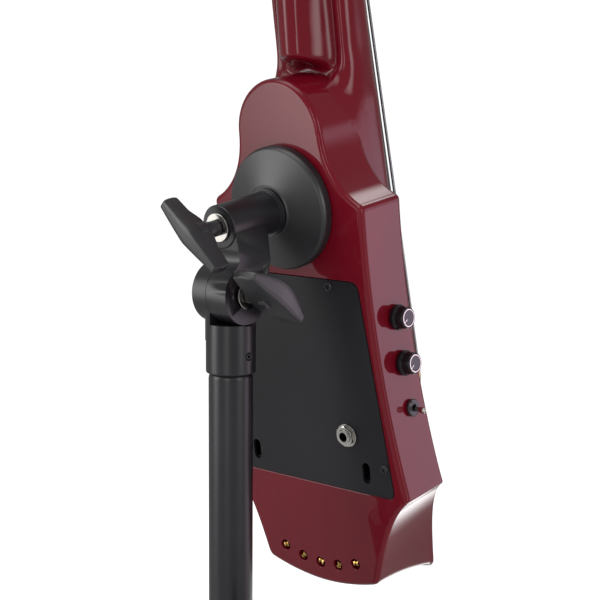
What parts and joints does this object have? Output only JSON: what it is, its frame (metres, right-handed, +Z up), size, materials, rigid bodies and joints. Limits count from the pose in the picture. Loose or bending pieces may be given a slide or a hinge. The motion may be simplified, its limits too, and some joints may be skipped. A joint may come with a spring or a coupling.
{
  "type": "electric cello on stand",
  "caption": "Solid-body electric cello with a slim waisted body, held by a tilting and swivelling clamp on a folding tripod stand.",
  "frame": {"origin": "on the floor, under the middle of the whole object's box", "axes": "+Z up; the strings face -Y and the stand is on the +Y side; the controls are on the -X side"},
  "size_m": [0.5664, 0.4962, 1.3362],
  "materials": {
    "lacquer": "deep wine red see-through gloss lacquer",
    "ebony": "black hardwood, fine grain, satin",
    "maple": "pale figured hardwood, satin",
    "black_metal": "black satin powder coat",
    "black_plastic": "black moulded plastic, fine texture",
    "cover_plastic": "dark grey sheet, satin, lightly scuffed",
    "nickel": "bright nickel plate",
    "silver": "turned aluminium, satin",
    "steel": "plain bright steel",
    "rubber": "black rubber, matte",
    "circuit": "green circuit laminate"
  },
  "bodies": {
    "base": {"outer_tube": "black_metal", "height_collar": "black_plastic", "leg_crown": "black_plastic"},
    "collar_knob": {"collar_knob": "black_plastic"},
    "pole": {"inner_tube": "black_metal", "tilt_socket": "black_metal", "socket_set_screw": "steel", "hinge_bolt": "steel"},
    "clamp": {"clamp_hub": "black_metal", "mount_washer": "nickel", "hinge_washer": "nickel"},
    "lower_wing": {"wing_knob_lower": "black_plastic"},
    "upper_wing": {"wing_knob_upper": "black_plastic"},
    "instrument": {"body": "lacquer", "fingerboard": "ebony", "nut": "ebony", "bridge": "maple", "bridge_pickup": "black_plastic", "tuner_plate_bass": "black_metal", "tuner_plate_treble": "black_metal", "string_1": "steel", "string_2": "steel", "string_3": "steel", "string_4": "steel", "string_5": "steel", "cover_plate": "cover_plastic", "cover_screw_1": "black_metal", "cover_screw_2": "black_metal", "cover_screw_3": "black_metal", "cover_screw_4": "black_metal", "jack_socket": "nickel", "jack_nut": "nickel", "circuit_board": "circuit", "volume_pot": "steel", "tone_pot": "steel", "toggle_switch": "black_plastic", "mount_bolt": "steel", "mount_disc": "black_plastic"},
    "volume_control": {"volume_knob": "black_plastic", "volume_knob_cap": "silver"},
    "tone_control": {"tone_knob": "black_plastic", "tone_knob_cap": "silver"},
    "toggle_lever": {"toggle_lever": "nickel"},
    "leg_1": {"leg_1": "black_metal", "foot_1": "rubber"},
    "leg_2": {"leg_2": "black_metal", "foot_2": "rubber"},
    "leg_3": {"leg_3": "black_metal", "foot_3": "rubber"},
    "tuner_button_1": {"tuner_button_1": "black_metal"},
    "tuner_post_1": {"tuner_post_1": "black_metal"},
    "tuner_button_2": {"tuner_button_2": "black_metal"},
    "tuner_post_2": {"tuner_post_2": "black_metal"},
    "tuner_button_3": {"tuner_button_3": "black_metal"},
    "tuner_post_3": {"tuner_post_3": "black_metal"},
    "tuner_button_4": {"tuner_button_4": "black_metal"},
    "tuner_post_4": {"tuner_post_4": "black_metal"},
    "tuner_button_5": {"tuner_button_5": "black_metal"},
    "tuner_post_5": {"tuner_post_5": "black_metal"}
  },
  "joints": [
    {"name": "leg_fold_1", "type": "hinge", "parent": "base", "child": "leg_1", "pos_m": [0, -0.03874, 0.158], "axis": [1, 0, 0], "range_deg": [0, 115]},
    {"name": "leg_fold_2", "type": "hinge", "parent": "base", "child": "leg_2", "pos_m": [-0.03291, -0.09574, 0.158], "axis": [-0.5, 0.866, 0], "range_deg": [0, 115]},
    {"name": "leg_fold_3", "type": "hinge", "parent": "base", "child": "leg_3", "pos_m": [0.03291, -0.09574, 0.158], "axis": [-0.5, -0.866, 0], "range_deg": [0, 115]},
    {"name": "collar_knob_turn", "type": "hinge", "parent": "base", "child": "collar_knob", "pos_m": [-0.02035, -0.06499, 0.331], "axis": [-0.866, 0.5, 0], "continuous": true},
    {"name": "height_slide", "type": "slide", "parent": "base", "child": "pole", "axis": [0, 0, 1], "range_m": [-0.08, 0.1]},
    {"name": "tilt", "type": "hinge", "parent": "pole", "child": "clamp", "pos_m": [0, -0.07674, 0.554], "axis": [-1, 0, 0], "range_deg": [-9, 26]},
    {"name": "lower_wing_turn", "type": "hinge", "parent": "pole", "child": "lower_wing", "pos_m": [0, -0.07674, 0.554], "axis": [-1, 0, 0], "continuous": true},
    {"name": "swivel", "type": "hinge", "parent": "clamp", "child": "instrument", "pos_m": [0, -0.12709, 0.60597], "axis": [0, 0.9876, -0.1573], "range_deg": [-45, 45]},
    {"name": "upper_wing_turn", "type": "hinge", "parent": "instrument", "child": "upper_wing", "pos_m": [0, -0.12709, 0.60597], "axis": [0, 0.9876, -0.1573], "continuous": true},
    {"name": "volume_turn", "type": "hinge", "parent": "instrument", "child": "volume_control", "pos_m": [-0.07589, -0.16343, 0.53611], "axis": [0.9983, -0.0093, -0.0581], "range_deg": [0, 300]},
    {"name": "tone_turn", "type": "hinge", "parent": "instrument", "child": "tone_control", "pos_m": [-0.07838, -0.16825, 0.50586], "axis": [0.9955, -0.0149, -0.0939], "range_deg": [0, 300]},
    {"name": "toggle_flip", "type": "hinge", "parent": "instrument", "child": "toggle_lever", "pos_m": [-0.07208, -0.17323, 0.47459], "axis": [0, 0.9876, -0.1573], "range_deg": [0, 20]},
    {"name": "tuner_turn_1", "type": "hinge", "parent": "instrument", "child": "tuner_button_1", "pos_m": [-0.017, -0.04311, 1.20646], "axis": [-1, 0, 0], "continuous": true},
    {"name": "post_turn_1", "type": "hinge", "parent": "instrument", "child": "tuner_post_1", "pos_m": [-0.017, -0.06442, 1.20619], "axis": [0, -0.956, 0.2932], "continuous": true},
    {"name": "tuner_turn_2", "type": "hinge", "parent": "instrument", "child": "tuner_button_2", "pos_m": [-0.017, -0.03197, 1.24278], "axis": [-1, 0, 0], "continuous": true},
    {"name": "post_turn_2", "type": "hinge", "parent": "instrument", "child": "tuner_post_2", "pos_m": [-0.017, -0.05328, 1.24252], "axis": [0, -0.956, 0.2932], "continuous": true},
    {"name": "tuner_turn_3", "type": "hinge", "parent": "instrument", "child": "tuner_button_3", "pos_m": [-0.017, -0.02083, 1.27911], "axis": [-1, 0, 0], "continuous": true},
    {"name": "post_turn_3", "type": "hinge", "parent": "instrument", "child": "tuner_post_3", "pos_m": [-0.017, -0.04214, 1.27885], "axis": [0, -0.956, 0.2932], "continuous": true},
    {"name": "tuner_turn_4", "type": "hinge", "parent": "instrument", "child": "tuner_button_4", "pos_m": [0.017, -0.0264, 1.26095], "axis": [1, 0, 0], "continuous": true},
    {"name": "post_turn_4", "type": "hinge", "parent": "instrument", "child": "tuner_post_4", "pos_m": [0.017, -0.04771, 1.26069], "axis": [0, -0.956, 0.2932], "continuous": true},
    {"name": "tuner_turn_5", "type": "hinge", "parent": "instrument", "child": "tuner_button_5", "pos_m": [0.017, -0.03754, 1.22462], "axis": [1, 0, 0], "continuous": true},
    {"name": "post_turn_5", "type": "hinge", "parent": "instrument", "child": "tuner_post_5", "pos_m": [0.017, -0.05885, 1.22436], "axis": [0, -0.956, 0.2932], "continuous": true}
  ],
  "couplings": [
    {"joint": "post_turn_1", "follows": "tuner_turn_1", "ratio": 0.071429},
    {"joint": "post_turn_2", "follows": "tuner_turn_2", "ratio": 0.071429},
    {"joint": "post_turn_3", "follows": "tuner_turn_3", "ratio": 0.071429},
    {"joint": "post_turn_4", "follows": "tuner_turn_4", "ratio": 0.071429},
    {"joint": "post_turn_5", "follows": "tuner_turn_5", "ratio": 0.071429}
  ]
}
